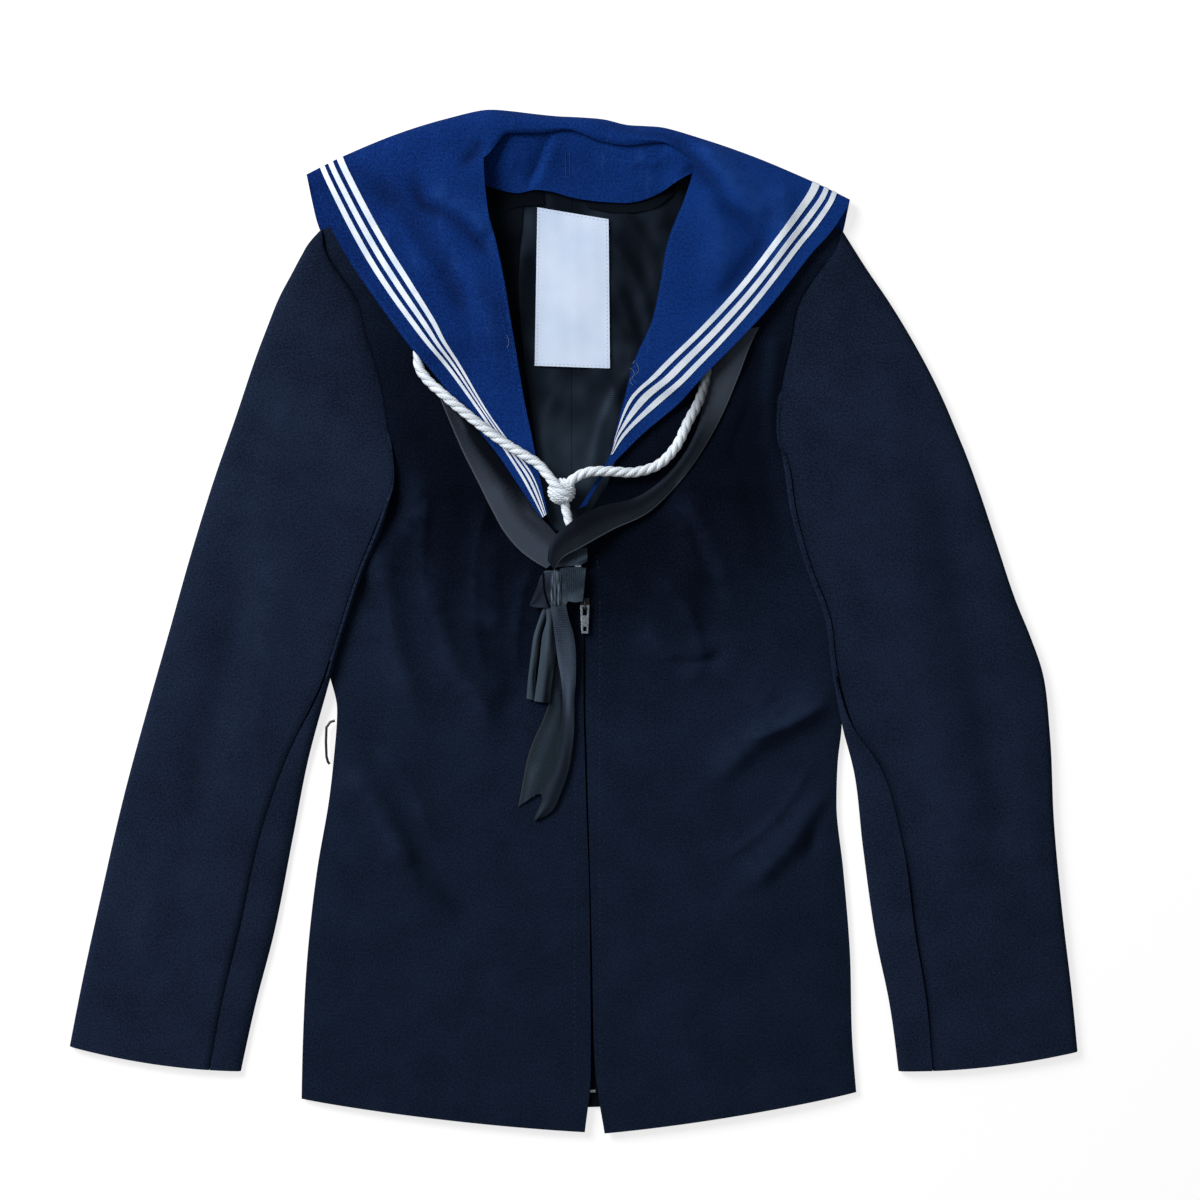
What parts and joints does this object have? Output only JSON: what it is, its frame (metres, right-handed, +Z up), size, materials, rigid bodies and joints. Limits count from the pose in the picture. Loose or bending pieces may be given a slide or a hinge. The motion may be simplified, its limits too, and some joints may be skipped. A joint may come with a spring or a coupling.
{
  "type": "sailor jumper",
  "caption": "Navy wool pullover laid flat, with a taped blue sailor collar, ribbon bow, rope lanyard, front zip and long sleeves.",
  "frame": {"origin": "on the surface that the garment lies on, below the middle of its outline", "axes": "+Z up from the surface, +Y from the hem to the collar, +X to the wearer's left, which is on the right seen from above"},
  "size_m": [0.765, 0.775, 0.027],
  "materials": {
    "wool_serge": "matt navy wool serge",
    "collar_cotton": "matt blue cotton drill",
    "collar_tape": "matt white cotton tape",
    "ribbon_satin": "black satin with a soft sheen",
    "lining_satin": "dark grey satin",
    "label_cloth": "matt white cotton",
    "lanyard_rope": "matt white cotton rope",
    "zip_tape": "black woven tape",
    "zip_black": "black",
    "zip_metal": "dull silver",
    "hook_wire": "black"
  },
  "bodies": {
    "root": {"back": "wool_serge", "belt_hook": "hook_wire", "bow_knot": "ribbon_satin", "bow_leaf_left": "ribbon_satin", "bow_leaf_right": "ribbon_satin", "bow_loop": "ribbon_satin", "bow_tail_back": "ribbon_satin", "bow_tail_front": "ribbon_satin", "collar": "collar_cotton", "collar_tape_1": "collar_tape", "collar_tape_2": "collar_tape", "collar_tape_3": "collar_tape", "front_left": "wool_serge", "front_right": "wool_serge", "label": "label_cloth", "lanyard": "lanyard_rope", "lanyard_knot": "lanyard_rope", "lanyard_tail": "lanyard_rope", "lining_left": "lining_satin", "lining_right": "lining_satin", "neck_band": "collar_cotton", "ribbon_left": "ribbon_satin", "ribbon_right": "ribbon_satin", "sleeve_top_left": "wool_serge", "sleeve_top_right": "wool_serge", "sleeve_under_left": "wool_serge", "sleeve_under_right": "wool_serge", "zip_slider": "zip_black", "zip_tape": "zip_tape"},
    "zip_pull": {"zip_pull": "zip_metal"}
  },
  "joints": [
    {"name": "zip_pull_hinge", "type": "hinge", "parent": "root", "child": "zip_pull", "pos_m": [0.006, 0.013, 0.0097], "axis": [-1, 0, 0], "range_deg": [0, 95]}
  ]
}
